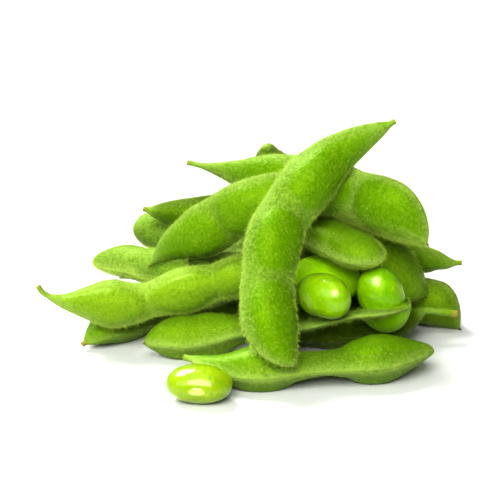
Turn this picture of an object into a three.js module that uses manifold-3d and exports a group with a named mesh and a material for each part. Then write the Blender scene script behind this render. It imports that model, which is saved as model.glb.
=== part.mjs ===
// A bundle of fresh edamame: whole soybean pods heaped loosely on a table, with the beans that
// have come out of them. Every pod is one closed solid, lofted along its own curved spine from
// the stalk to the beak. It swells over each bean, draws in between them, and carries a lip
// along both seams. One pod has split at its stalk end and holds a bean in the open cup.
//
// Millimetres, +Z up, X along the heap and -Y its front. The heap stands on z = 0.

import * as THREE from 'three';
import { LoftGeometry } from 'three/addons/geometries/LoftGeometry.js';
import { mergeVertices } from 'three/addons/utils/BufferGeometryUtils.js';
import Module from 'manifold-3d';

// ---- Driving dimensions -------------------------------------------------------------------

const POD = {
  width: 13.2, // seam to seam, at the widest
  swell: 10, // thickness over a bean
  waist: 6.4, // thickness between two beans
  narrowing: 0.1, // share of the width lost between two beans
  slimming: 0, // share of the width lost on the way to the beak
  reach: 7.5, // how far along the pod one bean's swelling carries
  stalk: 1.5, // length of bare stalk left on the pod
  stem: 0.65, // its radius
  taper: 0.36, // share of the length over which the pod widens from its stalk
  neck: 1, // 1 widens straight away, more keeps the stalk end slender
  end: 0.16, // share of the length over which it rounds off to the beak
  beak: 0.7, // 0 puts the beak at mid-width, 1 in line with the seam
};
const BEAK_RADIUS = 0.35;
const SEAM_LIP = 0.45; // how far the lip of the bean-bearing seam stands out
const BACK_LIP = 0.25; // and that of the seam opposite
const BEAN = { length: 15.4, width: 11, thickness: 8.9 };
const CUP_WALL = 0.7; // thickness of the split pod's wall round its bean
const FIT_GAP = 0.3; // air between the cup and its bean
const RIM_HEIGHT = 13.8; // of the cup's rim at the middle of the bean
const RIM_SLANT = [-0.15, -0.2]; // radians about X and Y

const BODY_RINGS = 18;
const END_RINGS = 7;
const RING_ANGLES = [0, 16, 44, 72, 108, 136, 164, 180, 196, 224, 252, 288, 316, 344];

// ---- Materials ----------------------------------------------------------------------------

const podGreen = { color: 0x6fa82a, roughness: 0.55, metalness: 0 };
const beanGreen = { color: 0x9ccf1c, roughness: 0.2, metalness: 0 };

// ---- The pods -----------------------------------------------------------------------------
// spine runs from the cut stalk to the beak. seam is the way the bean-bearing seam faces, at
// the stalk and, where it turns, at the beak. beans are places along the pod, 0 to 1.

const PODS = {
  pod_front_tall: {
    spine: [[34.5, 7, 56.8], [25, 5.3, 52], [18.5, 3.3, 47.7], [11, -2.2, 40.7], [6.5, -7.2, 34.7],
      [4.5, -12.2, 27.7], [4, -17.5, 20.4], [5, -23, 13.8], [7, -28, 7.9]],
    seam: [[1, 0.1, -0.3]],
    beans: [0.33, 0.58, 0.82],
    taper: 0.4,
    neck: 0.7,
    stalk: 0.5,
    beak: 0.55,
  },
  pod_cross_left: {
    spine: [[-25, 13, 18], [-18.5, 10.5, 24], [-12, 8.5, 28], [-6, 6.5, 32.5], [-1.5, 5, 35.5],
      [3.5, 4.5, 37.5], [7.5, 5, 38.5], [11, 6, 39]],
    seam: [[-0.6, 0, 1]],
    beans: [0.38, 0.74],
    taper: 0.48,
    neck: 0.9,
    stalk: 0.5,
  },
  pod_cross_right: {
    spine: [[-15.5, 26, 40.5], [-8.5, 24, 39.5], [0, 20, 39], [12, 13, 39.5], [20.5, 9, 39],
      [27, 6, 37.5], [33.5, 2, 36.5], [43, -3, 34]],
    seam: [[0, 0.1, -1]],
    beans: [0.33, 0.57, 0.82],
    taper: 0.52,
    neck: 1.2,
    width: 15,
    stalk: 0.5,
    beak: 0.75,
  },
  pod_left_long: {
    spine: [[-51.5, 3, 16.2], [-50.5, 3, 14.7], [-48, 3, 13.2], [-44, 3, 12.2], [-36.5, 2.5, 12.1],
      [-29, 2, 12.2], [-22, 2, 13.9], [-12, 2, 16.8], [-6, 1.8, 18.6], [0, 1.5, 20.2], [5, 1.2, 21.2]],
    seam: [[0, -0.35, -1]],
    beans: [0.325, 0.64, 0.9],
    reach: 6.5,
    taper: 0.32,
    neck: 1.2,
    width: 12,
    narrowing: 0.28,
    slimming: 0.14,
    end: 0.18,
    beak: 0.1,
  },
  pod_core_front: {
    spine: [[9, 32, 23], [12.5, 22, 26], [16, 13, 27], [19.5, 6, 27.5], [24.5, 0, 27], [30.5, -6, 26]],
    seam: [[1, 0.6, 0.2]],
    beans: [0.3, 0.6, 0.85],
    width: 12,
    swell: 8,
    waist: 7,
    end: 0.2,
    beak: 0.2,
  },
  pod_core_right: {
    spine: [[20, 32, 26], [27.5, 22, 23.5], [31, 17, 22], [34.5, 14, 18], [37.5, 12.5, 13], [40.5, 12, 8]],
    seam: [[1, 0.6, 0.4]],
    beans: [0.4, 0.75],
  },
  pod_right_point: {
    spine: [[53, 20, 16], [49.5, 20, 16], [46.5, 20.5, 16.5], [43, 22, 16.5], [37, 26, 17],
      [25.5, 32, 17], [14, 35, 17]],
    seam: [[0, -0.3, 1]],
    beans: [0.5, 0.8],
    taper: 0.5,
    neck: 0.8,
    stalk: 0.5,
    swell: 8,
  },
  pod_floor_left: {
    spine: [[-41, 1.5, 1.6], [-36.5, 5, 3.6], [-31, 11.5, 4], [-25, 20, 4.2], [-16, 30.5, 4.8]],
    seam: [[0.7, -0.8, -0.1]],
    beans: [0.4, 0.75],
    taper: 0.3,
    neck: 0.7,
    stalk: 0.5,
  },
  pod_floor_right: {
    spine: [[17, 33, 6], [23, 30, 6], [35.5, 24, 6], [44, 19, 6], [49, 16.5, 6], [53, 14.5, 5.5]],
    seam: [[0, 0, -1]],
    beans: [0.4, 0.75],
    width: 12.4,
    beak: 0.9,
  },
  pod_floor_front: {
    spine: [[-15.5, -13.4, 4.4], [-13, -15, 4.5], [-9.5, -17.8, 4.4], [-2.5, -20, 4.3], [7, -19.5, 4.5],
      [16.5, -18.5, 5], [23.5, -17.6, 5.1], [30, -16.2, 5.2], [36.5, -13.9, 5.6], [43, -11.2, 6]],
    seam: [[0, -1, 0]],
    beans: [0.33, 0.77],
    stalk: 0.5,
    stem: 0.8,
    taper: 0.3,
    neck: 0.8,
    swell: 11.2,
    waist: 5.8,
    narrowing: 0.2,
    end: 0.2,
    beak: 0.3,
  },
  pod_floor_middle: {
    spine: [[51, 8, 7], [47, 8, 7.5], [43, 7.5, 8], [39, 6, 6.5], [33.5, 5.5, 4.3], [24.5, 5, 4.1],
      [12.5, 6, 4.1], [3, 7.5, 4.1]],
    seam: [[0, -1, 0]],
    beans: [0.4, 0.65, 0.88],
    stalk: 7,
    stem: 0.95,
    taper: 0.25,
    swell: 9,
  },
  pod_back_left: {
    spine: [[-15, 11, 17.9], [-21, 17.5, 15.9], [-26.5, 23.5, 14.4], [-32, 28.5, 13.4], [-36, 31.5, 12.4],
      [-40, 34, 11.4]],
    seam: [[0.5, -1, 0]],
    beans: [0.32, 0.7],
    taper: 0.24,
    neck: 0.6,
    stalk: 0.5,
    end: 0.42,
    beak: 0.1,
    width: 10,
    swell: 7.8,
  },
  pod_upper_left: {
    spine: [[3, 26.5, 10.8], [-3, 27.5, 11.8], [-9, 30, 12.7], [-16, 33.2, 15.3], [-23, 34.6, 19],
      [-29.6, 35, 21.5]],
    seam: [[0, 0, -1]],
    beans: [0.4, 0.75],
    width: 10,
    swell: 8,
    taper: 0.26,
    beak: 0.2,
  },
  pod_upper_left_dark: {
    spine: [[-26.8, 26, 28.3], [-24, 26, 27.6], [-19.5, 26.5, 26.9], [-13, 28, 25.6], [-2.5, 36, 22],
      [10, 41, 17.5], [22, 43, 14.5]],
    seam: [[0, 0, 1]],
    beans: [0.36, 0.75],
    taper: 0.33,
    neck: 0.7,
    width: 11,
    swell: 8,
    stalk: 0.5,
  },
  pod_back_leaning: {
    spine: [[30, 53, 5], [27, 51, 13], [20, 47, 22], [10.5, 38, 32.5], [4.8, 30.5, 40.6], [4.6, 26.4, 44.9]],
    seam: [[1, 0, 0.3]],
    width: 9.4,
    swell: 7.4,
    waist: 6,
    beans: [0.35, 0.65],
    end: 0.3,
    beak: 0,
  },
  pod_upper_back: {
    spine: [[-3, 29.5, 30], [6, 28, 31.7], [16, 25.7, 32.8], [26, 22, 33], [35, 18, 31.5]],
    seam: [[0, -1, 0]],
    beans: [0.4, 0.75],
    width: 12,
    swell: 8.6,
  },
  pod_floor_back: {
    spine: [[-34, 41, 4.5], [-20, 39, 4.6], [-6, 41, 4.6], [8, 45, 4.6], [21, 48, 4.6]],
    seam: [[0, -1, 0]],
    beans: [0.4, 0.75],
  },
  pod_inner_middle: {
    spine: [[-15, 17.4, 17.9], [-11, 16.7, 19], [-5, 15, 20.2], [1, 14, 20.3], [8, 14.5, 18.6],
      [17, 18.5, 17], [25, 22.5, 15.6]],
    seam: [[0, -1, 0.4]],
    beans: [0.4, 0.75],
    taper: 0.3,
    width: 11,
    swell: 8.6,
  },
  pod_floor_inner: {
    spine: [[-19, 12, 4.5], [-10, 15, 4.6], [2, 18, 4.6], [16, 20.5, 4.6], [29, 18, 4.6]],
    seam: [[0, -1, 0]],
    beans: [0.4, 0.75],
  },
};

const SPLIT_POD = {
  spine: [[37.9, -6.6, 14.6], [35, -8.2, 14.2], [31, -9, 13.9], [25, -8.8, 13.4], [19, -8, 11.6],
    [12, -6.8, 9.6], [5, -5, 8], [-2.5, -3, 7], [-8.5, -1.5, 5.5], [-14.5, -1, 4.5], [-22, -1, 4.5],
    [-25.5, -1, 4.3]],
  seam: [[0, -1, 0.35], [0, -1, 0]],
  beans: [0.78, 0.85],
  waist: 3,
  swell: 10.6,
  reach: 10,
  narrowing: 0.45,
  taper: 0.16,
  stalk: 0.5,
  end: 0.12,
};

const BEANS = {
  bean_front: { at: [-11.7, -28.7, 4.3], turn: [0, 0, -6] },
  bean_on_pods: { at: [17.4, -10.7, 18.9], turn: [90, -6, -46], size: 1.02 },
  bean_in_split: { at: [31.8, -2.5, 15.4], turn: [90, -110, 0], size: 1.05 },
  bean_behind: { at: [18.8, 5, 17.6], turn: [30, 12, 8], size: 1.12 },
};

// ---- Geometry -----------------------------------------------------------------------------

const wasm = await Module();
wasm.setup();

const unit = (x) => THREE.MathUtils.clamp(x, 0, 1);
const opening = (x, neck) => Math.sin((Math.PI / 2) * unit(x)) ** neck;
const closing = (x) => Math.sqrt(1 - (1 - unit(x)) ** 2);

// Places of the rings along the pod: the body's first, then those that round off its end.
function ringPlaces(end) {
  const places = [];
  for (let i = 0; i < BODY_RINGS; i++) places.push((1 - end) * (i / BODY_RINGS) ** 1.15);
  for (let i = 0; i <= END_RINGS; i++) {
    places.push(1 - end * (1 - Math.sin((Math.PI / 2) * (i / END_RINGS))));
  }
  return places;
}

function podGeometry(given) {
  const pod = { ...POD, ...given };
  const points = pod.spine.map((p) => new THREE.Vector3(...p));
  const curve = new THREE.CatmullRomCurve3(points, false, 'catmullrom');
  curve.arcLengthDivisions = 400;
  const length = curve.getLength();
  const seamAtStalk = new THREE.Vector3(...pod.seam[0]).normalize();
  const seamAtBeak = new THREE.Vector3(...pod.seam.at(-1)).normalize();

  const sections = ringPlaces(pod.end).map((s) => {
    const along = curve.getTangentAt(s);
    const across = seamAtStalk.clone().lerp(seamAtBeak, s);
    across.addScaledVector(along, -across.dot(along)).normalize();
    const outward = new THREE.Vector3().crossVectors(along, across);

    const swelling = Math.max(...pod.beans.map((b) => Math.exp(-((((s - b) * length) / pod.reach) ** 2))));
    const open = opening((s - pod.stalk / length) / pod.taper, pod.neck);
    const close = closing((1 - s) / pod.end);
    const least = THREE.MathUtils.lerp(pod.stem, BEAK_RADIUS, s);
    const slim = 1 - pod.slimming * s;
    const fullWidth = (pod.width / 2) * slim * open * (1 - pod.narrowing * (1 - swelling));
    const fullDepth = (pod.waist + (pod.swell - pod.waist) * swelling) / 2;
    const halfWidth = Math.max(least, fullWidth * close);
    const halfDepth = Math.max(least, fullDepth * (open * close) ** 0.85);
    const centre = curve.getPointAt(s).addScaledVector(across, fullWidth * pod.beak * (1 - close));

    return RING_ANGLES.map((degrees) => {
      const angle = THREE.MathUtils.degToRad(degrees);
      const sin = Math.sin(angle);
      let reach = halfWidth * Math.cos(angle);
      if (degrees === 0) reach += SEAM_LIP * open * close;
      if (degrees === 180) reach -= BACK_LIP * open * close;
      const point = centre.clone()
        .addScaledVector(across, reach)
        .addScaledVector(outward, halfDepth * sin * (0.82 + 0.18 * sin * sin));
      point.z = Math.max(point.z, 0);
      return point;
    });
  });
  return new LoftGeometry(sections, { capStart: true, capEnd: true });
}

// A bean's long axis is X before it is turned. The middle of each side is a little flattened.
function beanGeometry({ at, turn, size = 1 }, grow = 0) {
  const geometry = new THREE.SphereGeometry(1, 22, 12);
  const half = [BEAN.length, BEAN.width, BEAN.thickness].map((side) => (side * size) / 2 + grow);
  geometry.scale(...half);
  const [x, y, z] = turn.map(THREE.MathUtils.degToRad);
  geometry.applyMatrix4(new THREE.Matrix4().makeRotationFromEuler(new THREE.Euler(x, y, z, 'ZYX')));
  geometry.translate(...at);
  const corners = geometry.attributes.position;
  for (let i = 0; i < corners.count; i++) corners.setZ(i, Math.max(corners.getZ(i), 0));
  return geometry;
}

function toSolid(geometry) {
  geometry.deleteAttribute('normal');
  geometry.deleteAttribute('uv');
  const merged = mergeVertices(geometry, 1e-4);
  return new wasm.Manifold(new wasm.Mesh({
    numProp: 3,
    vertProperties: merged.attributes.position.array,
    triVerts: new Uint32Array(merged.index.array),
  }));
}

function toGeometry(solid) {
  const { vertProperties, triVerts } = solid.getMesh();
  const geometry = new THREE.BufferGeometry();
  geometry.setAttribute('position', new THREE.BufferAttribute(Float32Array.from(vertProperties), 3));
  geometry.setIndex(new THREE.BufferAttribute(Uint32Array.from(triVerts), 1));
  geometry.computeVertexNormals();
  return geometry;
}

// The split pod: its closed length, joined to the cup its burst stalk end makes round a bean.
// The length runs on past the front of the cup, hollowed a little where the bean lies against it.
function splitPodGeometry() {
  const held = BEANS.bean_in_split;
  const rim = new THREE.BoxGeometry(40, 40, 40);
  rim.translate(0, 0, 20);
  rim.applyMatrix4(new THREE.Matrix4().makeRotationFromEuler(new THREE.Euler(...RIM_SLANT, 0)));
  rim.translate(held.at[0], held.at[1], RIM_HEIGHT);
  const cup = toSolid(beanGeometry(held, FIT_GAP + CUP_WALL)).subtract(toSolid(rim));
  const solid = toSolid(podGeometry(SPLIT_POD)).add(cup).subtract(toSolid(beanGeometry(held, FIT_GAP)));
  return toGeometry(solid);
}

const group = new THREE.Group();
function place(name, geometry, look) {
  const mesh = new THREE.Mesh(geometry, new THREE.MeshStandardMaterial(look));
  mesh.name = name;
  group.add(mesh);
}

for (const [name, pod] of Object.entries(PODS)) place(name, podGeometry(pod), podGreen);
place('pod_split', splitPodGeometry(), podGreen);
for (const [name, bean] of Object.entries(BEANS)) place(name, beanGeometry(bean), beanGreen);

// Stand the heap over the origin.
const box = new THREE.Box3().setFromObject(group);
const middle = box.getCenter(new THREE.Vector3());
for (const mesh of group.children) mesh.geometry.translate(-middle.x, -middle.y, -box.min.z);

export default group;
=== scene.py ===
# A bundle of fresh edamame: soybean pods heaped loosely on a table, with the beans that have
# come out of them. +Z up, X along the heap and -Y its front; it stands on z = 0. The scene is in
# metres, and the sizes and places of pods and beans are in millimetres.

import math

import bpy
import numpy as np
from mathutils import Euler, Matrix, Vector, noise
from mathutils.kdtree import KDTree


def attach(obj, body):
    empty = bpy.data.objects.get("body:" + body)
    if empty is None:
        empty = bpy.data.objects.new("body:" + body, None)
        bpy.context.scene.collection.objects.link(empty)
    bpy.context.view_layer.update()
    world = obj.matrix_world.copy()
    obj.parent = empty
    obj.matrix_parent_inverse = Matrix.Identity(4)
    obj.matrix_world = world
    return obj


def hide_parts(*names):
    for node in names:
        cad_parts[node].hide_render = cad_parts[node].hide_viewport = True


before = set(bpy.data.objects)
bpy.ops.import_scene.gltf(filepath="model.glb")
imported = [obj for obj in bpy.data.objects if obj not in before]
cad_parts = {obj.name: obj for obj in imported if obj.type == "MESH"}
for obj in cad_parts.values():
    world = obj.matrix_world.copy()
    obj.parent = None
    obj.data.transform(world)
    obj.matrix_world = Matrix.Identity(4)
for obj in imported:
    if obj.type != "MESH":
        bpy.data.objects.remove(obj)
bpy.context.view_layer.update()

# ---- Camera ----------------------------------------------------------------------------------
# A long lens half a metre from the heap, looking down at it by twenty degrees. It is level, and
# aimed at the heap's middle a little under half its height.

AIM = Vector((-0.0005, -0.0099, 0.0268))
LOOKING_DOWN = 20
CAMERA_DISTANCE = 0.5
FOCAL_LENGTH, SENSOR_WIDTH = 150, 36  # millimetres
NEAREST_SEEN = 0.01


def put_in_scene(name, data):
    """A new object that holds this camera, lamp or mesh."""
    made = bpy.data.objects.new(name, data)
    bpy.context.scene.collection.objects.link(made)
    return made


def way_out(round_by, up_by):
    """The way from the heap that lies this many degrees round from its front and up."""
    turned, raised = math.radians(round_by), math.radians(up_by)
    level = math.cos(raised)
    return Vector((math.sin(turned) * level, -math.cos(turned) * level, math.sin(raised)))


lens = bpy.data.cameras.new("camera")
lens.lens = FOCAL_LENGTH
lens.sensor_width = SENSOR_WIDTH
lens.clip_start = NEAREST_SEEN
camera = put_in_scene("camera", lens)
camera.location = AIM + CAMERA_DISTANCE * way_out(0, LOOKING_DOWN)
camera.rotation_euler = (math.pi / 2 - math.radians(LOOKING_DOWN), 0, 0)
bpy.context.scene.camera = camera

# ---- Table and lights ------------------------------------------------------------------------
# A white table top with a slight gloss. A strong softbox hangs over the front, just left of the
# middle, and a stronger one behind the heap to its left. Weak ones at the left and overhead, and
# a dim white room, fill in the rest.

VIEW_GAMMA = 0.79  # under 1 deepens the greens and the shadows
TABLE_SIDE = 6.0
ROOM_LIGHT = 0.1

# name: degrees round from the front, degrees up, distance, side, watts
SOFTBOXES = {
    "softbox_front": (-8, 40, 0.9, 0.55, 14),
    "softbox_left": (-50, 28, 1.0, 0.6, 3.5),
    "softbox_top": (-20, 78, 0.9, 0.6, 1.5),
    "softbox_back": (-138, 52, 1.1, 0.5, 22),
}


class Reading:
    """One output of a node. Sums and products of readings add Math nodes."""

    def __init__(self, nodes, socket):
        self.nodes = nodes
        self.socket = socket

    def math(self, operation, left, right):
        return self.nodes.node("ShaderNodeMath", {"operation": operation}, {0: left, 1: right})

    def __add__(self, other):
        return self.math("ADD", self, other)

    def __sub__(self, other):
        return self.math("SUBTRACT", self, other)

    def __rsub__(self, other):
        return self.math("SUBTRACT", other, self)

    def __mul__(self, other):
        return self.math("MULTIPLY", self, other)

    __radd__ = __add__
    __rmul__ = __mul__


class Nodes:
    """A node tree under construction."""

    def __init__(self, tree):
        self.tree = tree

    def node(self, kind, settings=None, sockets=None, output=0):
        """Add a node: first its settings, then the values or links of its inputs."""
        made = self.tree.nodes.new(kind)
        for setting, value in (settings or {}).items():
            setattr(made, setting, value)
        inputs = {socket.identifier: socket for socket in made.inputs}
        for key, value in (sockets or {}).items():
            self.feed(made.inputs[key] if isinstance(key, int) else inputs[key], value)
        outputs = {socket.identifier: socket for socket in made.outputs}
        return Reading(self, made.outputs[output] if isinstance(output, int) else outputs[output])

    def feed(self, socket, value):
        """Link a reading to the socket, or set the socket to a plain value."""
        if isinstance(value, Reading):
            self.tree.links.new(value.socket, socket)
        else:
            socket.default_value = value


class Finish(Nodes):
    """A material under construction: its Principled surface and the nodes that feed it."""

    def __init__(self, name, **constants):
        self.material = bpy.data.materials.new(name)
        self.material.use_nodes = True
        super().__init__(self.material.node_tree)
        self.surface = self.tree.nodes["Principled BSDF"]
        for socket, value in constants.items():
            self.set(socket.replace("_", " "), value)

    def set(self, socket, value):
        self.feed(self.surface.inputs[socket], value)

    def place(self):
        return self.node("ShaderNodeTexCoord", output="Object")

    def grown(self, attribute):
        """A value that the piece's mesh holds at its points."""
        return self.node("ShaderNodeAttribute", {"attribute_name": attribute}, output="Fac")

    def mottle(self, size, detail=2, where=None, stretch=(1, 1, 1)):
        """Noise from 0 to 1, in patches about this big: in metres, or in the units of where."""
        where = self.node("ShaderNodeMapping", {}, {"Vector": where or self.place(), "Scale": stretch})
        return self.node("ShaderNodeTexNoise", {}, {"Vector": where, "Scale": 1 / size, "Detail": detail})

    def step(self, value, low, high):
        """0 below low, 1 above high and smooth between them."""
        return self.node("ShaderNodeMapRange", {"interpolation_type": "SMOOTHSTEP"},
                         {"Value": value, "From Min": low, "From Max": high})

    def tint(self, share, under, over):
        """The colour under, with this share of the colour over."""
        return self.node("ShaderNodeMix", {"data_type": "RGBA"},
                         {"Factor_Float": share, "A_Color": under, "B_Color": over}, "Result_Color")

    def relief(self, height, depth):
        """Bumps of this height, as a reading, times this depth in metres."""
        bump = self.node("ShaderNodeBump", {}, {"Strength": 1.0, "Distance": depth, "Height": height})
        self.set("Normal", bump)


def colour(red, green, blue):
    return (red, green, blue, 1)


table_finish = Finish("table_top", Base_Color=colour(0.67, 0.67, 0.665))
table_finish.set("Roughness", 0.14 + 0.05 * table_finish.mottle(0.03))
half_side = TABLE_SIDE / 2
table_corners = [(-half_side, -half_side, 0), (half_side, -half_side, 0),
                 (half_side, half_side, 0), (-half_side, half_side, 0)]
table_mesh = bpy.data.meshes.new("table")
table_mesh.from_pydata(table_corners, [], [(0, 1, 2, 3)])
table_mesh.materials.append(table_finish.material)
table = put_in_scene("table", table_mesh)

room = bpy.data.worlds.new("room")
room.use_nodes = True
room.node_tree.nodes["Background"].inputs["Color"].default_value = colour(1, 1, 1)
room.node_tree.nodes["Background"].inputs["Strength"].default_value = ROOM_LIGHT
bpy.context.scene.world = room

for name, (round_by, up_by, distance, side, watts) in SOFTBOXES.items():
    lamp = bpy.data.lights.new(name, "AREA")
    lamp.energy = watts
    lamp.size = side
    softbox = put_in_scene(name, lamp)
    softbox.location = AIM + distance * way_out(round_by, up_by)
    softbox.rotation_euler = way_out(round_by, up_by).to_track_quat("Z", "Y").to_euler()

bpy.context.scene.view_settings.view_transform = "Standard"
bpy.context.scene.view_settings.gamma = VIEW_GAMMA

# ---- Whole pods ------------------------------------------------------------------------------
# Nineteen soybean pods, each of two fleshy valves joined along a seam. A pod grows along its own
# spine from the cut stalk to the beak: it swells over each bean, draws in between them, carries
# a grooved rib along both seams, and is closed by the cut stalk and the withered beak.

MM = 0.001
MM_PER_CM = 10
HEAP_MIDDLE = (0.4945, 9.7014, 0)  # in the coordinates of the spines
TABLE_GAP = 0.01  # the least height of any point of the skin

POD = {
    "width": 13.2,  # seam to seam, at the widest
    "swell": 10,  # thickness over a bean
    "waist": 6.4,  # thickness between two beans
    "narrowing": 0.1,  # share of the width lost between two beans
    "slimming": 0,  # share of the width lost on the way to the beak
    "reach": 7.5,  # how far along the pod one bean's swelling carries
    "stalk": 1.5,  # bare stalk left on the pod
    "stem": 0.65,  # its radius
    "taper": 0.36,  # share of the length over which the pod widens from its stalk
    "neck": 1,  # 1 widens straight away, more keeps the stalk end slender
    "end": 0.16,  # share of the length over which it rounds off to the beak
    "beak": 0.7,  # 0 puts the beak at mid-width, 1 in line with the seam
    "nub": 1,  # how far the withered beak stands out
    "oval": 7.2,  # half the length of the oval that a bean makes in the skin
    "firm": 0.8,  # how far that oval stands out of the flatter skin
    "drift": 0,  # how far the ovals lie towards the seam, as a share of the half width
    "flange": 1.1,  # how far the pale down of the bean-bearing seam reaches round the skin
    "downy": 1,  # how thick its down is
    "felt": 0.3,  # how grey-green its down makes the flatter skin
    "ripe": 0,  # how far its green has gone towards pale yellow-green
    "olive_and_painted_shade": 0,  # how far it is painted dark olive: partly its own colour, mostly painted shade deep in the heap
    "fresh": 1,  # how far from the cut stalk that darkening begins
    "browned": 0.2,  # how brown its cut stalk has gone
}

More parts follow.
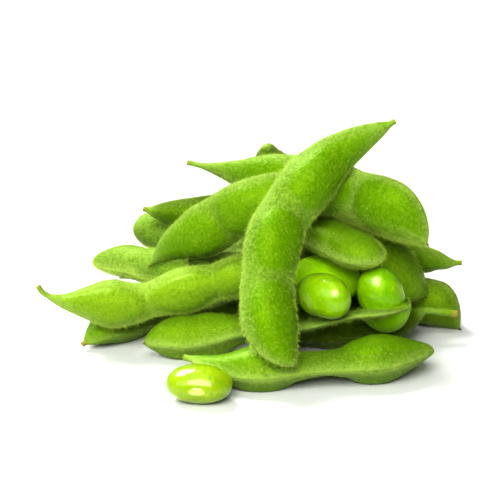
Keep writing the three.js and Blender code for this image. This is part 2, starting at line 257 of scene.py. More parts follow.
# spine runs from the cut stalk to the beak; seam is the way the bean-bearing seam faces, at the
# stalk and, where it turns, at the beak; beans are places along the pod, 0 to 1.
WHOLE_PODS = {
    "pod_front_tall": {
        "spine": [[34.5, 7, 56.8], [25, 5.3, 52], [18.5, 3.3, 47.7], [11, -2.2, 40.7], [6.5, -7.2, 34.7],
                  [4.5, -12.2, 27.7], [4, -17.5, 20.4], [5, -23, 13.8], [7, -28, 7.9]],
        "seam": [[1, 0.1, -0.3]], "beans": [0.33, 0.58, 0.82], "taper": 0.4, "neck": 0.7, "stalk": 0.5,
        "beak": 0.55, "felt": 0.4, "drift": 0.12, "firm": 0.6, "downy": 0.75},
    "pod_cross_left": {
        "spine": [[-25, 13, 18], [-18.5, 10.5, 24], [-12, 8.5, 28], [-6, 6.5, 32.5], [-1.5, 5, 35.5],
                  [3.5, 4.5, 37.5], [7.5, 5, 38.5], [11, 6, 39]],
        "seam": [[-0.6, 0, 1]], "beans": [0.38, 0.74], "taper": 0.48, "neck": 0.9, "stalk": 0.5,
        "felt": 0.35, "ripe": 0.15, "firm": 0.6},
    "pod_cross_right": {
        "spine": [[-15.5, 26, 40.5], [-8.5, 24, 39.5], [0, 20, 39], [12, 13, 39.5], [20.5, 9, 39],
                  [27, 6, 37.5], [33.5, 2, 36.5], [43, -3, 34]],
        "seam": [[0, 0.1, -1]], "beans": [0.33, 0.57, 0.82], "taper": 0.52, "neck": 1.2, "width": 15,
        "stalk": 0.5, "beak": 0.75, "felt": 0.8, "drift": -0.16, "downy": 1.5, "flange": 2.8},
    "pod_left_long": {
        "spine": [[-51.5, 3, 16.2], [-50.5, 3, 14.7], [-48, 3, 13.2], [-44, 3, 12.2], [-36.5, 2.5, 12.1],
                  [-29, 2, 12.2], [-22, 2, 13.9], [-12, 2, 16.8], [-6, 1.8, 18.6], [0, 1.5, 20.2],
                  [5, 1.2, 21.2]],
        "seam": [[0, -0.35, -1]], "beans": [0.325, 0.64, 0.9], "reach": 6.5, "taper": 0.32, "neck": 1.2,
        "width": 12, "narrowing": 0.28, "slimming": 0.14, "end": 0.18, "beak": 0.1, "ripe": 0.8,
        "felt": 0.7, "drift": 0.12, "flange": 1.7, "firm": 1.1, "oval": 8.4, "browned": 0.4},
    "pod_core_front": {
        "spine": [[9, 32, 23], [12.5, 22, 26], [16, 13, 27], [19.5, 6, 27.5], [24.5, 0, 27],
                  [30.5, -6, 26]],
        "seam": [[1, 0.6, 0.2]], "beans": [0.3, 0.6, 0.85], "width": 12, "swell": 8, "waist": 7,
        "end": 0.2, "beak": 0.2, "ripe": 0.3, "downy": 1.6, "felt": 0.7, "nub": 0},
    "pod_core_right": {
        "spine": [[20, 32, 26], [27.5, 22, 23.5], [31, 17, 22], [34.5, 14, 18], [37.5, 12.5, 13],
                  [40.5, 12, 8]],
        "seam": [[1, 0.6, 0.4]], "beans": [0.4, 0.75], "felt": 0, "ripe": 0.35, "downy": 0.6, "nub": 0},
    "pod_right_point": {
        "spine": [[53, 20, 16], [49.5, 20, 16], [46.5, 20.5, 16.5], [43, 22, 16.5], [37, 26, 17],
                  [25.5, 32, 17], [14, 35, 17]],
        "seam": [[0, -0.3, 1]], "beans": [0.5, 0.8], "taper": 0.5, "neck": 0.8, "stalk": 0.5, "swell": 8,
        "felt": 0.1, "ripe": 0.1, "downy": 0.6},
    "pod_floor_left": {
        "spine": [[-41, 1.5, 1.6], [-36.5, 5, 3.6], [-31, 11.5, 4], [-25, 20, 4.2], [-16, 30.5, 4.8]],
        "seam": [[0.7, -0.8, -0.1]], "beans": [0.4, 0.75], "taper": 0.3, "neck": 0.7, "stalk": 0.5,
        "ripe": 0.1, "felt": 0.2, "olive_and_painted_shade": 0.4, "downy": 0.5, "browned": 0.8},
    "pod_floor_right": {
        "spine": [[17, 33, 6], [23, 30, 6], [35.5, 24, 6], [44, 19, 6], [49, 16.5, 6], [53, 14.5, 5.5]],
        "seam": [[0, 0, -1]], "beans": [0.4, 0.75], "width": 12.4, "beak": 0.9, "olive_and_painted_shade": 0.25, "felt": 0.1,
        "ripe": 0.45, "downy": 0.6},
    "pod_floor_front": {
        "spine": [[-15.5, -13.4, 4.4], [-13, -15, 4.5], [-9.5, -17.8, 4.4], [-2.5, -20, 4.3],
                  [7, -19.5, 4.5], [16.5, -18.5, 5], [23.5, -17.6, 5.1], [30, -16.2, 5.2],
                  [36.5, -13.9, 5.6], [43, -11.2, 6]],
        "seam": [[0, -1, 0]], "beans": [0.33, 0.77], "stalk": 0.5, "stem": 0.8, "taper": 0.3, "neck": 0.8,
        "swell": 11.2, "waist": 5.8, "narrowing": 0.2, "end": 0.2, "beak": 0.3, "downy": 0.12, "nub": 0,
        "felt": 0.1, "drift": -0.15, "ripe": 0.1, "flange": 1.4, "browned": 0.1},
    "pod_floor_middle": {
        "spine": [[51, 8, 7], [47, 8, 7.5], [43, 7.5, 8], [39, 6, 6.5], [33.5, 5.5, 4.3], [24.5, 5, 4.1],
                  [12.5, 6, 4.1], [3, 7.5, 4.1]],
        "seam": [[0, -1, 0]], "beans": [0.4, 0.65, 0.88], "stalk": 7, "stem": 0.95, "taper": 0.25,
        "swell": 9, "olive_and_painted_shade": 0.9, "felt": 0.2, "downy": 0.5, "fresh": 9, "browned": 1},
    "pod_back_left": {
        "spine": [[-15, 11, 17.9], [-21, 17.5, 15.9], [-26.5, 23.5, 14.4], [-32, 28.5, 13.4],
                  [-36, 31.5, 12.4], [-40, 34, 11.4]],
        "seam": [[0.5, -1, 0]], "beans": [0.32, 0.7], "taper": 0.24, "neck": 0.6, "stalk": 0.5,
        "end": 0.42, "beak": 0.1, "width": 10, "swell": 7.8, "ripe": 0.15, "downy": 2.2, "nub": 0.7,
        "felt": 1},
    "pod_upper_left": {
        "spine": [[3, 26.5, 10.8], [-3, 27.5, 11.8], [-9, 30, 12.7], [-16, 33.2, 15.3], [-23, 34.6, 19],
                  [-29.6, 35, 21.5]],
        "seam": [[0, 0, -1]], "beans": [0.4, 0.75], "width": 10, "swell": 8, "taper": 0.26, "beak": 0.2,
        "nub": 0, "felt": 1},
    "pod_upper_left_dark": {
        "spine": [[-26.8, 26, 28.3], [-24, 26, 27.6], [-19.5, 26.5, 26.9], [-13, 28, 25.6],
                  [-2.5, 36, 22], [10, 41, 17.5], [22, 43, 14.5]],
        "seam": [[0, 0, 1]], "beans": [0.36, 0.75], "taper": 0.33, "neck": 0.7, "width": 11, "swell": 8,
        "stalk": 0.5, "olive_and_painted_shade": 0.6, "browned": 0.4},
    "pod_back_leaning": {
        "spine": [[30, 53, 5], [27, 51, 13], [20, 47, 22], [10.5, 38, 32.5], [4.8, 30.5, 40.6],
                  [4.6, 26.4, 44.9]],
        "seam": [[1, 0, 0.3]], "beans": [0.35, 0.65], "width": 9.4, "swell": 7.4, "waist": 6, "end": 0.3,
        "beak": 0, "nub": 0, "felt": 0, "ripe": 0.4, "downy": 0.3},
    "pod_upper_back": {
        "spine": [[-3, 29.5, 30], [6, 28, 31.7], [16, 25.7, 32.8], [26, 22, 33], [35, 18, 31.5]],
        "seam": [[0, -1, 0]], "beans": [0.4, 0.75], "width": 12, "swell": 8.6},
    "pod_floor_back": {
        "spine": [[-34, 41, 4.5], [-20, 39, 4.6], [-6, 41, 4.6], [8, 45, 4.6], [21, 48, 4.6]],
        "seam": [[0, -1, 0]], "beans": [0.4, 0.75], "olive_and_painted_shade": 0.4},
    "pod_inner_middle": {
        "spine": [[-15, 17.4, 17.9], [-11, 16.7, 19], [-5, 15, 20.2], [1, 14, 20.3], [8, 14.5, 18.6],
                  [17, 18.5, 17], [25, 22.5, 15.6]],
        "seam": [[0, -1, 0.4]], "beans": [0.4, 0.75], "taper": 0.3, "width": 11, "swell": 8.6,
        "olive_and_painted_shade": 0.1, "felt": 0.5},
    "pod_floor_inner": {
        "spine": [[-19, 12, 4.5], [-10, 15, 4.6], [2, 18, 4.6], [16, 20.5, 4.6], [29, 18, 4.6]],
        "seam": [[0, -1, 0]], "beans": [0.4, 0.75], "olive_and_painted_shade": 0.85},
}

BEAK_RADIUS = 0.35
BLEND_POWER = 5  # how sharply the bare stalk and the beak pass into the pod
FILLING_POWER = 0.85  # under 1, the thickness fills out from the ends sooner than the width
LENS = 0.18  # how much thinner than an oval the section is towards its seams
SEAM_RIB, BACK_RIB = 0.45, 0.25  # how far the ribs of the two seams stand out
RIB_WIDTH, GROOVE_WIDTH, GROOVE_DEPTH = 0.75, 0.2, 0.2  # the back rib's groove is half as deep
SEAM_THREAD, BACK_THREAD = 1, 0.6  # how dark the brown thread along each seam is
THREAD_WIDTH = 0.3
OVAL_WIDTH = 0.85  # width of a bean's oval, as a share of the pod's
OVAL_POWER = 3  # 2 makes it a true oval, more makes it squarer
OVAL_EDGE, OVAL_FOOT = 0.3, 1.6  # where it starts to fall off and where it ends
RUN_ON = 0.4  # under 1, the first and last ovals run on towards the ends of the pod
FLUSH = 0.6  # strength of an oval where it is level with the skin
UNEVEN = [(0.16, 5.5), (0.07, 2.1)]  # how far the skin is out of true, and how far apart
BARE_REACH = 1.2  # how far past the bare stalk its paler green carries
CUT_REACH = 0.9  # how far the browning of the cut creeps down the stalk
SHOULDER_REACH = 9  # how far the bright green of the stalk end carries along the pod
DARKENING = 3  # length over which the dark olive and painted shade come in
BODY_RINGS, END_RINGS = 96, 26
QUARTER = [0, 2, 4, 7, 11, 16, 22, 29, 36, 44, 52, 60, 68, 75, 82]  # degrees, closer at the seams
# The cut stalk and the beak, as (share of the radius, how far beyond the pod)
STALK_CUT = [(0, 0.05), (0.5, 0.05), (0.84, 0.14), (0.97, 0.12)]
BEAK_POINT = [(0.9, 0.15), (0.75, 0.35), (0.55, 0.6), (0.28, 0.8), (0, 0.88)]
LEAST_POINT = 0.02
BEAK_TURN = 0.5  # how far the beak's point turns towards the seam


def unit(vectors):
    return vectors / np.linalg.norm(vectors, axis=-1, keepdims=True)


def softened(value, low, high):
    """0 below low, 1 above high and smooth between them."""
    share = np.clip((value - low) / (high - low), 0, 1)
    return share * share * (3 - 2 * share)


def faded(value, near, far):
    """1 below near, 0 above far and smooth between them."""
    return 1 - softened(value, near, far)


def bell(away, reach):
    """1 at no distance, falling off smoothly to about a third at this reach."""
    return np.exp(-(away / reach)**2)


def crinkle(places, layers):
    """Smooth noise at each place: the sum of layers of (height, distance between bumps)."""
    return sum(height * np.array([noise.noise(Vector(place) / apart) for place in places])
               for height, apart in layers)


def in_heap(points):
    """Points in the heap's own frame, kept just clear of the table."""
    points = points - HEAP_MIDDLE
    points[:, 2] = np.maximum(points[:, 2], TABLE_GAP)
    return points


def closed_grid(name, points, rings, sides, mirrored=False):
    """A closed mesh of rings of points between two poles, which are the first and last point."""

    def at(ring, side):
        return 1 + ring * sides + side % sides

    last = 1 + rings * sides
    faces = [(0, at(0, j + 1), at(0, j)) for j in range(sides)]
    faces += [(at(i, j), at(i, j + 1), at(i + 1, j + 1), at(i + 1, j))
              for i in range(rings - 1) for j in range(sides)]
    faces += [(last, at(rings - 1, j), at(rings - 1, j + 1)) for j in range(sides)]
    if mirrored:
        faces = [face[:1] + face[:0:-1] for face in faces]
    mesh = bpy.data.meshes.new(name)
    mesh.from_pydata((points * MM).tolist(), [], faces)
    mesh.shade_smooth()
    return mesh


def hold(mesh, name, values, kind="FLOAT"):
    """Give the mesh an attribute with these values at its points, or one value at them all."""
    shape = len(mesh.vertices) if kind == "FLOAT" else (len(mesh.vertices), 3)
    every = np.broadcast_to(values, shape).astype(np.float32)
    held = mesh.attributes.new(name, kind, "POINT")
    held.data.foreach_set("value" if kind == "FLOAT" else "vector", every.ravel())


def grow_spine(points, pieces=1500):
    """A curve through the points, as closely spaced places and how far along it each one is."""
    given = np.array(points, float)
    padded = np.vstack([2 * given[0] - given[1], given, 2 * given[-1] - given[-2]])
    spans = len(given) - 1
    at = np.linspace(0, spans, pieces + 1)
    span = np.minimum(at.astype(int), spans - 1)
    x = (at - span)[:, None]
    before, start, stop, after = (padded[span + k] for k in range(4))
    leave, arrive = (stop - before) / 2, (after - start) / 2
    places = (start + leave * x + (3 * (stop - start) - 2 * leave - arrive) * x**2
              + (2 * (start - stop) + leave + arrive) * x**3)
    reached = np.concatenate([[0], np.cumsum(np.linalg.norm(np.diff(places, axis=0), axis=1))])
    return places, reached


class Pod:
    """The shape of one pod: its spine, and the section at any share s of its length."""

    def __init__(self, given):
        self.sizes = {**POD, **given}
        self.places, self.reached = grow_spine(given["spine"])
        self.length = self.reached[-1]
        self.headings = unit(np.gradient(self.places, self.reached, axis=0))

    def over_bean(self, run, side, half_width):
        """1 over the middle of a bean, 0 over the flatter skin round it."""
        beans = [share * self.length for share in self.sizes["beans"]]
        across = side / half_width - self.sizes["drift"]
        away = []
        for bean in beans:
            off = (run - bean) / self.sizes["oval"]
            if bean == beans[0]:
                off = np.where(off < 0, RUN_ON * off, off)
            if bean == beans[-1]:
                off = np.where(off > 0, RUN_ON * off, off)
            away.append(np.abs(off)**OVAL_POWER + np.abs(across / OVAL_WIDTH)**OVAL_POWER)
        return faded(np.min(away, 0), OVAL_EDGE, OVAL_FOOT)

    def section(self, s):
        """Middle, three directions, fullness and half sizes of the section at each share s."""
        size = self.sizes
        run = s * self.length
        centre, along = (np.stack([np.interp(run, self.reached, track[:, k]) for k in range(3)], 1)
                         for track in (self.places, self.headings))
        along = unit(along)
        seam = [unit(np.array(facing, float)) for facing in size["seam"]]
        across = seam[0] * (1 - s[:, None]) + seam[-1] * s[:, None]
        across = unit(across - (across * along).sum(1, keepdims=True) * along)
        outward = np.cross(along, across)

        swelling = np.max([bell(run - bean * self.length, size["reach"]) for bean in size["beans"]], 0)
        widened = np.clip((s - size["stalk"] / self.length) / size["taper"], 0, 1)
        widening = np.sin(math.pi / 2 * widened)**size["neck"]
        closing = np.sqrt(1 - (1 - np.clip((1 - s) / size["end"], 0, 1))**2)
        fullness = widening * closing
        full_width = size["width"] / 2 * (1 - size["slimming"] * s) * widening
        full_width = full_width * (1 - size["narrowing"] * (1 - swelling))
        full_depth = (size["waist"] + (size["swell"] - size["waist"]) * swelling) / 2

        # Where the pod is slimmer than its stalk or beak, these carry on into it.
        least = size["stem"] * (1 - s) + BEAK_RADIUS * s
        half_width = (least**BLEND_POWER + (full_width * closing)**BLEND_POWER)**(1 / BLEND_POWER)
        full_depth = full_depth * fullness**FILLING_POWER
        half_depth = (least**BLEND_POWER + full_depth**BLEND_POWER)**(1 / BLEND_POWER)
        centre = centre + across * (full_width * size["beak"] * (1 - closing))[:, None]
        return centre, along, across, outward, fullness, half_width, half_depth


def map_skin(mesh, middle_ring, run):
    """UV map of the pod in centimetres: along it, and round it from its seam."""
    sides = len(middle_ring)
    around = np.concatenate([[0], np.cumsum(np.linalg.norm(np.diff(middle_ring, axis=0), axis=1))])
    whole = around[-1] + np.linalg.norm(middle_ring[0] - middle_ring[-1])
    edges = np.append(around, whole) / MM_PER_CM
    far_side = np.where(np.arange(sides) >= sides // 2, edges[-1], 0)
    left, right = edges[:-1] - far_side, edges[1:] - far_side
    corners = [(run[:-1], left), (run[:-1], right), (run[1:], right), (run[1:], left)]
    quads = [np.stack(np.broadcast_arrays(ahead[:, None], round_it), -1) for ahead, round_it in corners]
    pole = np.zeros((3 * sides, 2))
    skin_map = np.concatenate([pole, np.stack(quads, 2).reshape(-1, 2), pole + (run[-1], 0)])
    mesh.uv_layers.new(name="skin").data.foreach_set("uv", skin_map.astype(np.float32).ravel())


def grow_pod(name, given):
    """Mesh of one whole pod, with what its skin and its down read at every point."""
    pod = Pod(given)
    size = pod.sizes
    closing_in = 1 - np.sin(math.pi / 2 * np.arange(END_RINGS + 1) / END_RINGS)
    s = np.concatenate([(1 - size["end"]) * np.arange(BODY_RINGS) / BODY_RINGS,
                        1 - size["end"] * closing_in])
    centre, along, across, outward, *columns = pod.section(s)
    fullness, half_width, half_depth = (column[:, None] for column in columns)
    quarter = np.array(QUARTER, float)
    angle = np.radians(np.concatenate([quarter, [90], 180 - quarter[:0:-1], [180], 180 + quarter[1:],
                                       [270], 360 - quarter[:0:-1]]))
    cos, sin = np.cos(angle), np.sin(angle)
    at_seam = cos > 0
    rings, sides = len(s), len(angle)

    # Distance round the skin from the nearer seam, and the rib that stands on it.
    from_seam = half_depth * (1 - LENS) * np.abs(sin)
    rib = np.where(at_seam, SEAM_RIB, -BACK_RIB) * bell(from_seam, RIB_WIDTH)
    groove = np.where(at_seam, GROOVE_DEPTH, -GROOVE_DEPTH / 2) * bell(from_seam, GROOVE_WIDTH)
    reach = half_width * cos + (rib - groove) * fullness
    depth = half_depth * sin * (1 - LENS + LENS * sin**2)
    shape = centre[:, None] + reach[..., None] * across[:, None] + depth[..., None] * outward[:, None]

    # Each bean shows as a firm oval under the skin, and the skin is never quite even.
    run = s[:, None] * pod.length
    oval = pod.over_bean(run, half_width * cos, half_width)
    uneven = crinkle(shape.reshape(-1, 3), UNEVEN).reshape(rings, sides)
    lift = uneven * fullness + size["firm"] * (oval - FLUSH) * np.abs(sin) * fullness
    shape = shape + lift[..., None] * unit(shape - centre[:, None] + 1e-6)

    def ring_beyond(end, share, beyond):
        """The ring at this end, drawn in to this share of its size and moved on."""
        return centre[end] + (shape[end] - centre[end]) * share + beyond

    nub = size["nub"]
    stalkward, pointward = -along[0], unit(along[-1] + BEAK_TURN * across[-1])
    first = [ring_beyond(0, share, stalkward * beyond) for share, beyond in STALK_CUT[1:]]
    last = [ring_beyond(-1, share, pointward * (nub * beyond)) for share, beyond in BEAK_POINT[:-1]]
    poles = [centre[0] + stalkward * STALK_CUT[0][1],
             centre[-1] + pointward * max(nub * BEAK_POINT[-1][1], LEAST_POINT)]
    every = np.concatenate([np.stack(first), shape, np.stack(last)])
    points = np.concatenate([poles[:1], every.reshape(-1, 3), poles[1:]])
    mesh = closed_grid(name, in_heap(points), len(every), sides)
    extra = len(first), len(last)

    def spread_out(values, start=None, stop=None):
        """One value per point of the pod, carried on over both ends or set to start and stop."""
        spread = np.pad(np.broadcast_to(values, (rings, sides)), (extra, (0, 0)), "edge")
        if start is not None:
            spread[:extra[0]] = start
            spread[-extra[1]:] = stop
        return spread

    flange = np.where(at_seam, size["flange"], POD["flange"])
    thread = np.where(at_seam, SEAM_THREAD, BACK_THREAD)
    grown = {
        "oval": spread_out(oval, 0, 0),
        "ridge": spread_out(bell(from_seam, flange)),
        "line": spread_out(bell(from_seam, THREAD_WIDTH) * thread * fullness, 0, 0),
        "nub": spread_out(0 * run, 0, min(nub, 1)),
        "stalk": spread_out(bell(run, BARE_REACH + size["stalk"]), 1, 0),
        "cut": size["browned"] * spread_out(bell(run, CUT_REACH), 1, 0),
        "shoulder": spread_out(bell(run, SHOULDER_REACH)),
        # dark olive, mostly painted shade, coming in past the fresh stalk end
        "olive_and_painted_shade": spread_out(size["olive_and_painted_shade"] * softened(run - size["fresh"], 0, DARKENING)),
    }
    for key, values in grown.items():
        hold(mesh, key, np.concatenate([[values[0].mean()], values.ravel(), [values[-1].mean()]]))
    hold(mesh, "ripe", size["ripe"])
    hold(mesh, "felt", size["felt"])
    grain = np.repeat(np.pad(along, (extra, (0, 0)), "edge"), sides, 0)
    hold(mesh, "grain", np.concatenate([along[:1], grain, along[-1:]]), "FLOAT_VECTOR")
    map_skin(mesh, shape[rings // 2], np.pad(s * pod.length / MM_PER_CM, extra, "edge"))
    return mesh


# Clear leaf-green over a bean, duller between and beside the beans, where the down makes it grey.
# Over that lie the marks of each pod, from the broadest to the finest.
def pod_skin(name):
    skin = Finish(name, Subsurface_Weight=0.1, Subsurface_Radius=(0.8, 1.0, 0.1), Subsurface_Scale=0.0012,
                  Sheen_Weight=0.03, Sheen_Roughness=0.35, Sheen_Tint=colour(0.55, 0.8, 0.12),
                  Specular_IOR_Level=0.33, Specular_Tint=colour(0.7, 1.0, 0.05))
    patches = skin.mottle(0.005, 4)
    clouds = skin.mottle(0.0016, 3)
    flecks = skin.mottle(0.0007, 3)
    veins = skin.mottle(0.11, 2, skin.node("ShaderNodeUVMap", {"uv_map": "skin"}), (1, 0.28, 1))
    over_bean = skin.step(skin.grown("oval") + 0.9 * (patches - 0.5), -0.1, 0.75)
    over_bean = over_bean * (1 - 0.6 * skin.step(skin.grown("felt"), 0.8, 1))
    felt = skin.grown("felt") * (0.4 + 0.6 * skin.step(0.75 * flecks + 0.25 * patches, 0.34, 0.66))
    flat_skin = skin.tint(felt, colour(0.085, 0.178, 0.001), colour(0.24, 0.34, 0.085))
    green = skin.tint(over_bean, flat_skin, colour(0.1, 0.215, 0.0001))
    for share, over in [
        (0.35 * skin.step(clouds, 0.4, 0.75), colour(0.14, 0.245, 0.0005)),  # pale clouds
        (0.6 * skin.grown("shoulder"), colour(0.125, 0.27, 0.0003)),  # bright stalk end
        (0.2 * skin.step(veins, 0.45, 0.7), colour(0.045, 0.13, 0.0003)),  # dark veins
        (0.6 * skin.grown("ripe"), colour(0.22, 0.325, 0.02)),  # the yellower pods
        (0.8 * skin.grown("ridge") * skin.step(clouds, 0.2, 0.5), colour(0.25, 0.35, 0.08)),  # pale ribs
        ((0.4 - 0.15 * over_bean) * skin.step(flecks, 0.52, 0.68), colour(0.25, 0.34, 0.05)),  # hair roots
        (0.25 * skin.step(1 - flecks, 0.52, 0.68), colour(0.03, 0.085, 0.0003)),  # dark pores
        (skin.grown("olive_and_painted_shade"), colour(0.035, 0.07, 0.0005)),  # dark olive, partly the pod's own and mostly painted shade on pods deep in the heap
        (0.3 * skin.grown("line"), colour(0.06, 0.08, 0.005)),  # brown thread along the seams
        (0.5 * skin.grown("stalk"), colour(0.14, 0.22, 0.004)),  # bare stalk
        (0.8 * skin.grown("nub"), colour(0.07, 0.05, 0.01)),  # withered beak
        (0.8 * skin.grown("cut"), colour(0.32, 0.19, 0.06)),  # browned cut
        (0.9 * skin.grown("cup"), colour(0.25, 0.52, 0.001)),  # open cup, painted bright green: painted light shining through its thin wall in the shade under the bean
        (skin.grown("cut") * skin.grown("cup"), colour(0.14, 0.24, 0.008)),  # its rim and lining
    ]:
        green = skin.tint(share, green, over)
    skin.set("Base Color", green)
    downy_roughness = 0.16 * skin.grown("ridge") + 0.3 * felt * (1 - over_bean)
    skin.set("Roughness", 0.4 + downy_roughness + 0.12 * (flecks - 0.5))
    skin.relief(0.6 * flecks + 0.3 * clouds + 0.35 * veins, 0.0003)
    return skin.material


skin_of_pods = pod_skin("pod_skin")
pod_pieces = {}
for name, given in WHOLE_PODS.items():
    mesh = grow_pod("skin_of_" + name, given)
    mesh.materials.append(skin_of_pods)
    piece = put_in_scene(mesh.name, mesh)
    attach(piece, "root")
    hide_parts(name)
    pod_pieces[name] = piece

# ---- Split pod -------------------------------------------------------------------------------
# One pod has burst at its stalk end and holds a bean in the open cup. The closed length and the
# cup are one skin: the cup is a thin wall round the bean, cut off along a slanting rim.

SPLIT_POD = {
    "spine": [[37.9, -6.6, 14.6], [35, -8.2, 14.2], [31, -9, 13.9], [25, -8.8, 13.4], [19, -8, 11.6],
              [12, -6.8, 9.6], [5, -5, 8], [-2.5, -3, 7], [-8.5, -1.5, 5.5], [-14.5, -1, 4.5],
              [-22, -1, 4.5], [-25.5, -1, 4.3]],
    "seam": [[0, -1, 0.35], [0, -1, 0]], "beans": [0.78, 0.85], "waist": 3, "swell": 10.6, "reach": 10,
    "narrowing": 0.45, "taper": 0.16, "stalk": 0.5, "end": 0.12, "ripe": 0.4, "downy": 0.3, "felt": 0.15,
    "drift": -0.12,
}
BEAN = {"length": 15.4, "width": 11, "thickness": 8.9}
HELD_BEAN = {"at": [31.8, -2.5, 15.4], "turn": [90, -110, 0], "size": 1.05}
CUP_WALL, CUP_GAP = 0.7, 0.3
OVAL_RINGS, OVAL_SIDES = 39, 56
RIM_HEIGHT, RIM_SLANT = 13.8, (-0.15, -0.2)  # over the bean's middle; radians about X and Y
BLOCK_SIDE = 40  # of the block above the rim that is cut away
SKIN_VOXEL = 0.28
EASING, EASINGS = 0.5, 3
CUP_START, CUP_FULL = 20, 24  # where along X the pod's skin turns into the cup's
CUP_SKIN, CUP_CLEAR = 1.02, 1.12  # where it does so away from the bean, as shares of the cup's radii
LINING, WALL = 0.9, 0.95  # and where the lining ends, likewise
RIM_EDGE, RIM_CLEAR = 0.4, 1.2  # how far below the rim its torn edge shows
SPLIT_NUB = 0.25  # how far from the tip the withered beak's brown reaches


def bean_frame(bean):
    """The turn of a bean, whose long axis is X before it is turned."""
    return np.array(Euler([math.radians(degrees) for degrees in bean["turn"]], "XYZ").to_matrix())


def bean_radii(bean):
    """Half the length, width and thickness of a bean."""
    return np.array([BEAN["length"], BEAN["width"], BEAN["thickness"]]) / 2 * bean.get("size", 1)


def bean_oval(name, bean, grow):
    """An oval as large as the bean, grown by this much all round."""
    bend = np.linspace(0, math.pi, OVAL_RINGS + 2)[1:-1, None]
    turn = np.linspace(0, 2 * math.pi, OVAL_SIDES, endpoint=False)
    grid = np.stack([np.cos(bend) + 0 * turn, np.sin(bend) * np.cos(turn), np.sin(bend) * np.sin(turn)], 2)
    points = np.concatenate([[[1, 0, 0]], grid.reshape(-1, 3), [[-1, 0, 0]]]) * (bean_radii(bean) + grow)
    points = in_heap(points @ bean_frame(bean).T + bean["at"])
    return closed_grid(name, points, OVAL_RINGS, OVAL_SIDES, mirrored=True)


def apply_modifiers(piece):
    """Turn the piece with its modifiers into a plain mesh."""
    graph = bpy.context.evaluated_depsgraph_get()
    piece_mesh = bpy.data.meshes.new_from_object(piece.evaluated_get(graph), depsgraph=graph)
    piece.modifiers.clear()
    piece.data = piece_mesh
    return piece_mesh


def gathered(items, field, width=1, kind=np.float32):
    """What a mesh's points, corners or attribute hold, as one row of this width for each."""
    found = np.zeros(len(items) * width, kind)
    items.foreach_get(field, found)
    return found.reshape(-1, width) if width > 1 else found


split = put_in_scene("skin_of_pod_split", grow_pod("skin_of_pod_split", SPLIT_POD))
outer = put_in_scene("cup_outside", bean_oval("cup_outside", HELD_BEAN, CUP_GAP + CUP_WALL))
inner = put_in_scene("cup_inside", bean_oval("cup_inside", HELD_BEAN, CUP_GAP))
rim_turn = Euler((*RIM_SLANT, 0), "ZYX").to_matrix()
rim_point = (*HELD_BEAN["at"][:2], RIM_HEIGHT)
bpy.ops.mesh.primitive_cube_add(size=BLOCK_SIDE * MM)
above_rim = bpy.context.object
above_rim.data.transform(rim_turn.to_4x4() @ Matrix.Translation((0, 0, BLOCK_SIDE / 2 * MM)))
above_rim.data.transform(Matrix.Translation((Vector(rim_point) - Vector(HEAP_MIDDLE)) * MM))
for target, tool, operation in ((outer, above_rim, "DIFFERENCE"), (split, outer, "UNION"),
                                (split, inner, "DIFFERENCE")):
    cut = target.modifiers.new(tool.name, "BOOLEAN")
    cut.operation, cut.object, cut.solver = operation, tool, "EXACT"
melt = split.modifiers.new("one_skin", "REMESH")
melt.mode, melt.voxel_size, melt.use_smooth_shade = "VOXEL", SKIN_VOXEL * MM, True
ease = split.modifiers.new("ease", "SMOOTH")
ease.factor, ease.iterations = EASING, EASINGS
split_mesh = apply_modifiers(split)
for tool in (outer, inner, above_rim):
    bpy.data.objects.remove(tool)

# What the skin reads is worked out again for the joined skin, from the nearest place on the spine.
pod = Pod(SPLIT_POD)
places = gathered(split_mesh.vertices, "co", 3) / MM + HEAP_MIDDLE
tree_of_spine = KDTree(len(pod.places))
for at, place in enumerate(pod.places):
    tree_of_spine.insert(place, at)
tree_of_spine.balance()
nearest = [tree_of_spine.find(place)[1] for place in places]
s = pod.reached[nearest] / pod.length
run = s * pod.length
centre, along, across, outward, _, half_width, _ = pod.section(s)
side = ((places - centre) * across).sum(1)
out_of_seam = ((places - centre) * outward).sum(1)
cup_outside = bean_radii(HELD_BEAN) + CUP_GAP + CUP_WALL
from_bean = np.linalg.norm((places - HELD_BEAN["at"]) @ bean_frame(HELD_BEAN) / cup_outside, axis=1)
in_cup = faded(from_bean, CUP_SKIN, CUP_CLEAR) * softened(places[:, 0], CUP_START, CUP_FULL)
below_rim = (np.array(rim_point) - places) @ np.array(rim_turn @ Vector((0, 0, 1)))
lining = np.maximum(faded(from_bean, LINING, WALL), faded(below_rim, RIM_EDGE, RIM_CLEAR))
grown = {
    "oval": np.maximum(pod.over_bean(run, side, half_width), in_cup),
    "ridge": bell(np.abs(out_of_seam), POD["flange"]) * (1 - in_cup),
    "nub": bell((1 - s) * pod.length, SPLIT_NUB),
    "stalk": bell(run, BARE_REACH + POD["stalk"]) * (1 - in_cup),
    "cut": lining * in_cup,
    "cup": in_cup,
    "line": 0,
    "shoulder": 0,
    "olive_and_painted_shade": 0,
    "ripe": SPLIT_POD["ripe"],
    "felt": SPLIT_POD["felt"],
}
for key, values in grown.items():
    hold(split_mesh, key, values)
hold(split_mesh, "grain", along, "FLOAT_VECTOR")
around = np.arctan2(out_of_seam, side) * half_width
corners = gathered(split_mesh.loops, "vertex_index", kind=int)
skin_map = np.stack([run, around], 1)[corners] / MM_PER_CM
split_mesh.uv_layers.new(name="skin").data.foreach_set("uv", skin_map.astype(np.float32).ravel())
split_mesh.materials.clear()
split_mesh.materials.append(skin_of_pods)
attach(split, "root")
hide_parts("pod_split")
pod_pieces["pod_split"] = split

# ---- Beans -----------------------------------------------------------------------------------
# Four shelled beans, moist and glossy in their thin tight coats. One lies on the table, one on
# the pods, one behind them and one in the split pod's cup. Each has its scar on one long edge.

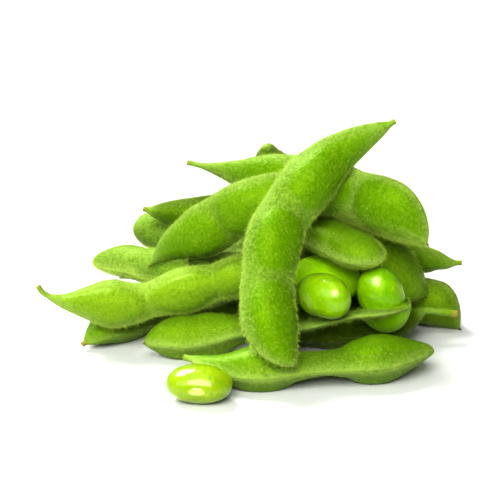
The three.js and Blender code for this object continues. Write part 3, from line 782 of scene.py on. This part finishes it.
# at is the middle of the bean and turn its degrees about X, Y and Z; size multiplies BEAN's.
BEANS = {
    "bean_front": {"at": [-11.7, -28.7, 4.3], "turn": [0, 0, -6], "ripe": 0.4},
    "bean_on_pods": {"at": [17.4, -10.7, 18.9], "turn": [90, -6, -46], "size": 1.02, "ripe": 0.15},
    "bean_in_split": HELD_BEAN,
    "bean_behind": {"at": [18.8, 5, 17.6], "turn": [30, 12, 8], "size": 1.12, "wet_else_dry_painted_light": 0},
}
BEAN_RINGS, BEAN_SIDES = 72, 88
GIRTH_POWER = 0.93  # under 1 gives fuller ends than an oval's
DRAWN_IN, DRAWN_REACH = 0.55, 3.2  # how far the scarred edge is drawn in, and over what length
SCARRED_SIDE = 0.2  # where that begins, from 0 at the bean's middle to 1 at its edge
SCAR_HEIGHT, HALF_SCAR, SCAR_WIDTH = 0.22, 1.9, 0.8
SCAR_FOOT, SCAR_SLOPE = 1.35, 0.7  # where the scar ends, and how softly
DENTS = [(0.1, 4), (0.035, 1.4)]  # how far the coat is out of true, and how far apart
DENTED_RADIUS = 6  # distance from the bean's middle at which it is out by just that


def grow_bean(name, bean):
    """Mesh of one bean, with its scar at the middle of one long edge."""
    half_length, half_width, half_thickness = bean_radii(bean)
    bend = np.linspace(0, math.pi, BEAN_RINGS + 2)[1:-1, None]
    turn = np.linspace(0, 2 * math.pi, BEAN_SIDES, endpoint=False)[None]
    x = np.cos(bend) + 0 * turn
    girth = np.sin(bend)**GIRTH_POWER
    y, z = girth * np.cos(turn), girth * np.sin(turn)
    points = np.stack([x * half_length, y * half_width, z * half_thickness], 2)

    # The scarred edge is drawn in a little at its middle, and the scar stands proud of it.
    from_scar = (points[..., 0] / HALF_SCAR)**2 + (points[..., 2] / SCAR_WIDTH)**2
    scar = softened(SCAR_FOOT - from_scar, 0, SCAR_SLOPE) * (y < 0)
    drawn_in = DRAWN_IN * bell(points[..., 0], DRAWN_REACH) * softened(-y, SCARRED_SIDE, 1)
    points[..., 1] += drawn_in - SCAR_HEIGHT * scar
    points = np.concatenate([[[half_length, 0, 0]], points.reshape(-1, 3), [[-half_length, 0, 0]]])
    points = points * (1 + crinkle(points + bean["at"], DENTS)[:, None] / DENTED_RADIUS)
    points = in_heap(points @ bean_frame(bean).T + bean["at"])
    mesh = closed_grid(name, points, BEAN_RINGS, BEAN_SIDES, mirrored=True)
    hold(mesh, "scar", np.concatenate([[0], scar.ravel(), [0]]))
    hold(mesh, "wet_else_dry_painted_light", bean.get("wet_else_dry_painted_light", 1))
    hold(mesh, "ripe", bean.get("ripe", 0))
    return mesh


# The coat: clear yellow-green, a little light passing through it, and wet enough to mirror the
# lamps. It is paler at the scar and faintly clouded.
coat = Finish("bean_coat", Subsurface_Weight=0.35, Subsurface_Radius=(1.0, 1.0, 0.15),
              Subsurface_Scale=0.002, Coat_Roughness=0.2, IOR=1.35, Specular_Tint=colour(0.8, 1.0, 0.1))
clouds = coat.mottle(0.004, 3)
wrinkles = coat.mottle(0.0012, 3)
green = coat.tint(coat.step(clouds, 0.3, 0.75), colour(0.155, 0.36, 0.0005), colour(0.25, 0.45, 0.001))
for share, over in [
    (1 - coat.grown("wet_else_dry_painted_light"), colour(0.26, 0.5, 0.001)),  # a dry, matte bean, painted lighter: painted light on the bean in the shade behind the pods
    (coat.grown("ripe"), colour(0.31, 0.3, 0.005)),  # the yellower beans
    (0.45 * coat.grown("scar"), colour(0.72, 0.80, 0.30)),
]:
    green = coat.tint(share, green, over)
coat.set("Coat Weight", 0.8 * coat.grown("wet_else_dry_painted_light"))
coat.set("Base Color", green)
coat.set("Roughness", 0.28 + 0.1 * clouds + 0.3 * (1 - coat.grown("wet_else_dry_painted_light")))
coat.relief(0.8 * wrinkles + clouds, 0.0004)

for name, bean in BEANS.items():
    mesh = grow_bean("coat_of_" + name, bean)
    mesh.materials.append(coat.material)
    piece = put_in_scene(mesh.name, mesh)
    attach(piece, "root")
    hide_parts(name)

# ---- Down ------------------------------------------------------------------------------------
# Short pale hairs stand all over the pods and lean towards their beaks. They are thickest along
# the seams and between the beans, and there are none on the cut stalks or inside the cup.

HAIRS_PER_MM2 = 2.9
HAIR = {"Length": 1.1 * MM, "Width": 0.042 * MM, "Lean": 1.0, "Scatter": 0.7}
SHORTEST, LONGEST = 0.45, 1.25  # as shares of these sizes
HAIR_SIDES = 3
OVER_BEANS, BETWEEN_BEANS, ON_SEAMS = 0.35, 0.7, 1.8  # how thick the down is there
LOWEST_HAIR, FULL_DOWN = 1.2, 2.2  # heights between which the down comes in above the table
LOST = {"stalk": 1, "shoulder": 0.5, "olive_and_painted_shade": 0.7}  # share of the down that is missing there
# What the hairs take over from the skin that they grow on, and don't need
SKIN_READS = ("oval", "ridge", "line", "nub", "stalk", "cut", "shoulder", "olive_and_painted_shade", "ripe", "felt", "cup",
              "grain", "downy")


def down_tree(material):
    """Plants hairs on a skin, as thickly as its value "downy" says, leaning along its "grain"."""
    tree = bpy.data.node_groups.new("down", "GeometryNodeTree")
    inputs = {"Skin": "NodeSocketGeometry", "Hairs per square metre": "NodeSocketFloat",
              "Seed": "NodeSocketInt", **dict.fromkeys(HAIR, "NodeSocketFloat")}
    for name, kind in inputs.items():
        tree.interface.new_socket(name, in_out="INPUT", socket_type=kind)
    tree.interface.new_socket("Down", in_out="OUTPUT", socket_type="NodeSocketGeometry")
    down = Nodes(tree)
    given = {socket.name: Reading(down, socket) for socket in tree.nodes.new("NodeGroupInput").outputs}

    thick = down.node("GeometryNodeInputNamedAttribute", {"data_type": "FLOAT"}, {"Name": "downy"})
    density = thick * given["Hairs per square metre"]
    roots = down.node("GeometryNodeDistributePointsOnFaces", {"distribute_method": "RANDOM"},
                      {"Mesh": given["Skin"], "Density": density, "Seed": given["Seed"]})
    upright = Reading(down, roots.socket.node.outputs["Normal"])
    grain = down.node("GeometryNodeInputNamedAttribute", {"data_type": "FLOAT_VECTOR"}, {"Name": "grain"})
    lean = down.node("ShaderNodeVectorMath", {"operation": "SCALE"}, {0: grain, "Scale": given["Lean"]})
    stray = down.node("FunctionNodeRandomValue", {"data_type": "FLOAT_VECTOR"},
                      {"Min": (-1, -1, -1), "Max": (1, 1, 1), "Seed": given["Seed"]})
    scatter = down.node("ShaderNodeVectorMath", {"operation": "SCALE"},
                        {0: stray, "Scale": given["Scatter"]})
    heading = down.node("ShaderNodeVectorMath", {"operation": "ADD"}, {0: upright, 1: lean})
    heading = down.node("ShaderNodeVectorMath", {"operation": "ADD"}, {0: heading, 1: scatter})
    stand = down.node("FunctionNodeAlignRotationToVector", {"axis": "Z"}, {"Vector": heading})
    hair = down.node("GeometryNodeMeshCone", {}, {"Vertices": HAIR_SIDES, "Radius Top": 0.0,
                                                  "Radius Bottom": 0.5 * given["Width"],
                                                  "Depth": given["Length"]})
    share = down.node("FunctionNodeRandomValue", {"data_type": "FLOAT"},
                      {"Min_001": SHORTEST, "Max_001": LONGEST, "Seed": given["Seed"]}, "Value_001")
    planted = down.node("GeometryNodeInstanceOnPoints", {},
                        {"Points": roots, "Instance": hair, "Rotation": stand, "Scale": share})
    real = down.node("GeometryNodeRealizeInstances", {}, {"Geometry": planted})
    finished = down.node("GeometryNodeSetMaterial", {}, {"Geometry": real, "Material": material})
    down.feed(tree.nodes.new("NodeGroupOutput").inputs["Down"], finished)
    return tree


hair_finish = Finish("down", Base_Color=colour(0.43, 0.56, 0.08), Roughness=0.5,
                     Specular_Tint=colour(0.8, 1.0, 0.3))
tree_of_down = down_tree(hair_finish.material)
socket_of = {item.name: item.identifier for item in tree_of_down.interface.items_tree
             if item.in_out == "INPUT"}
every_pod = {**WHOLE_PODS, "pod_split": SPLIT_POD}
for seed, (name, skin_piece) in enumerate(pod_pieces.items()):
    skin_mesh = skin_piece.data
    reads = {key: gathered(skin_mesh.attributes[key].data, "value")
             for key in ("oval", "ridge", "cut", *LOST)}
    height = gathered(skin_mesh.vertices, "co", 3)[:, 2] / MM
    downy = OVER_BEANS + ON_SEAMS * reads["ridge"] + BETWEEN_BEANS * (1 - reads["oval"])
    downy = downy * (1 - reads["cut"]) * softened(height, LOWEST_HAIR, FULL_DOWN)
    for key, lost in LOST.items():
        downy = downy * (1 - lost * reads[key])
    ground = bpy.data.meshes.new_from_object(skin_piece)
    hold(ground, "downy", downy * {**POD, **every_pod[name]}["downy"])
    piece = put_in_scene("down_on_" + name, ground)
    growth = piece.modifiers.new("down", "NODES")
    growth.node_group = tree_of_down
    growth[socket_of["Hairs per square metre"]] = HAIRS_PER_MM2 / MM**2
    growth[socket_of["Seed"]] = seed
    for key, value in HAIR.items():
        growth[socket_of[key]] = value
    hairs = apply_modifiers(piece)
    for key in SKIN_READS:
        if key in hairs.attributes:
            hairs.attributes.remove(hairs.attributes[key])
    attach(piece, "root")
